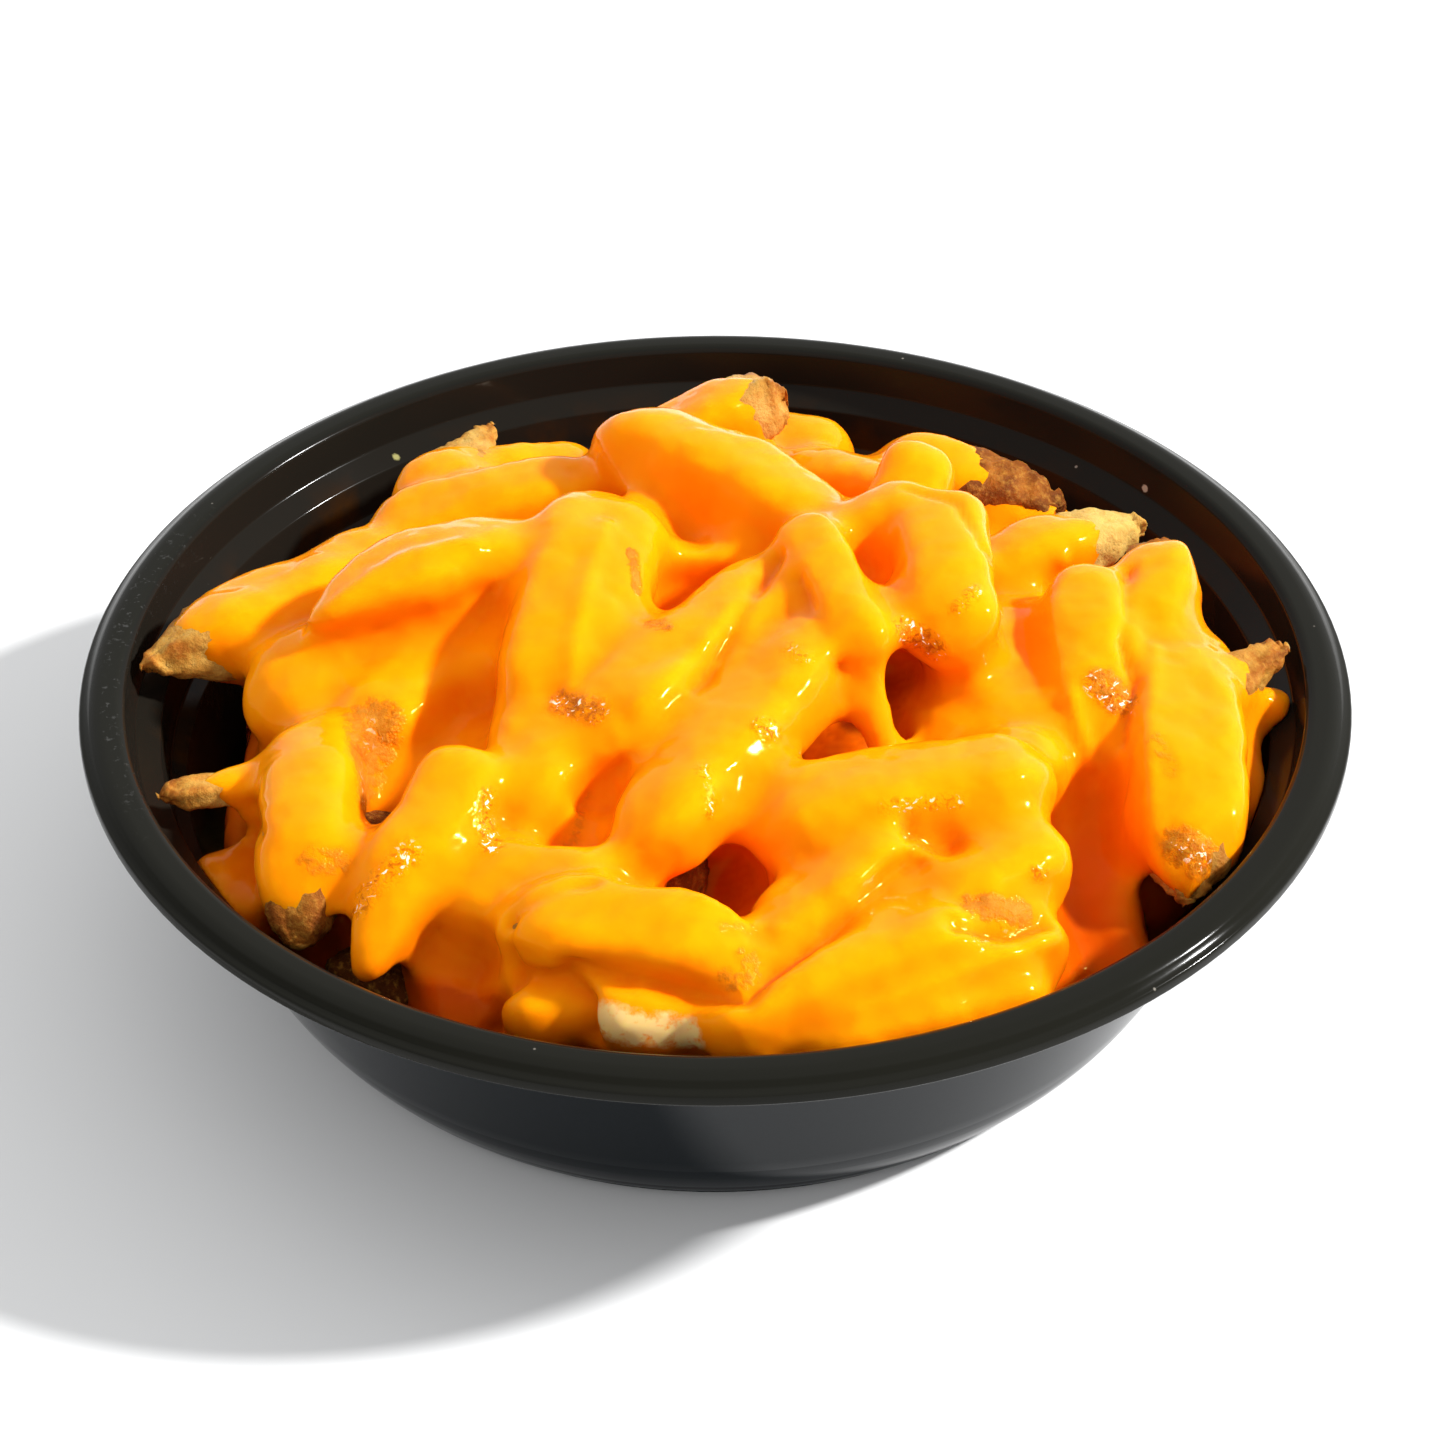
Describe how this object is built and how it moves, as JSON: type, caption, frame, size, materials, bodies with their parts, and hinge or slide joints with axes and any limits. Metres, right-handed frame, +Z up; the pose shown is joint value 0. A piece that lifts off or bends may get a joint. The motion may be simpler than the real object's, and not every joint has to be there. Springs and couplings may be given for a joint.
{
  "type": "cheese fries",
  "caption": "Heap of thick-cut fries under a coat of thick yellow-orange cheese sauce, in a round black take-out bowl with a flanged rim and a flat foot.",
  "frame": {"origin": "centre of the bowl's flat foot, on the surface that it stands on", "axes": "+Z up along the bowl's axis; -Y towards the side of the heap that faces the viewer; +X to that viewer's right"},
  "size_m": [0.184, 0.184, 0.0641],
  "materials": {
    "bowl_plastic": "moulded black polypropylene, glossy, with fine scuffs on the rim and a few specks of dust",
    "fried_potato": "fried potato, tan to golden brown, crisp and grainy, darker at tips and edges",
    "cheese_sauce": "thick smooth cheese sauce, yellow-orange, wet and glossy, deeper orange in the folds"
  },
  "bodies": {
    "root": {"bowl": "bowl_plastic", "fries": "fried_potato", "cheese_sauce": "cheese_sauce"}
  },
  "joints": []
}
